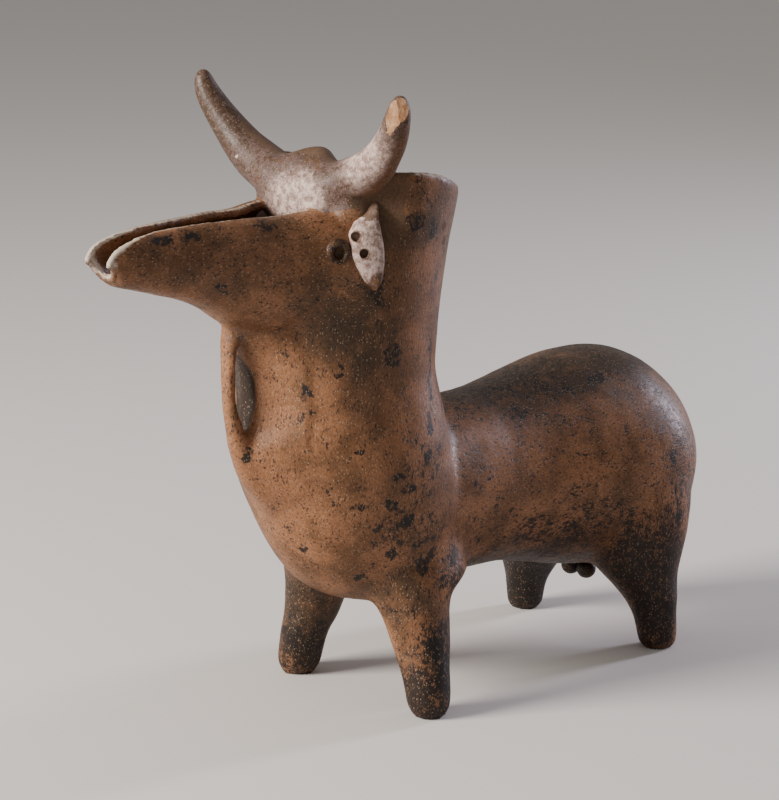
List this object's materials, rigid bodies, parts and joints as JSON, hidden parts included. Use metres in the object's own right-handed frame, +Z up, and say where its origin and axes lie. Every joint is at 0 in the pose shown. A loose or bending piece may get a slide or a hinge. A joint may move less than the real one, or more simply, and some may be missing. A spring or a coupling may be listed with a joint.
{
  "type": "bull-shaped ceramic vessel",
  "caption": "Hollow fired-clay vessel in the shape of a standing bull, filled at the flared neck and poured from the open trough of its muzzle.",
  "frame": {"origin": "centre of the vessel's bounding box in X and Y, on the ground under the feet", "axes": "+Z up; -Y the way the bull looks; +X the bull's left side"},
  "size_m": [0.1428, 0.3653, 0.2994],
  "materials": {
    "clay": "burnished, satin, mottled with fire clouds",
    "dull_clay": "dull, mottled grey-brown",
    "pale_clay": "worn, pale and matt",
    "charred_clay": "blackened in firing, satin"
  },
  "bodies": {
    "root": {"chest": "clay", "neck": "clay", "trunk": "clay", "spout": "dull_clay", "brow": "pale_clay", "dewlap": "clay", "horn_left": "pale_clay", "horn_right": "pale_clay", "ear_left": "pale_clay", "ear_right": "pale_clay", "eye_left": "dull_clay", "eye_right": "dull_clay", "leg_front_left": "charred_clay", "leg_front_right": "charred_clay", "leg_hind_left": "charred_clay", "leg_hind_right": "charred_clay", "pellet_left": "clay", "pellet_right": "clay"}
  },
  "joints": []
}
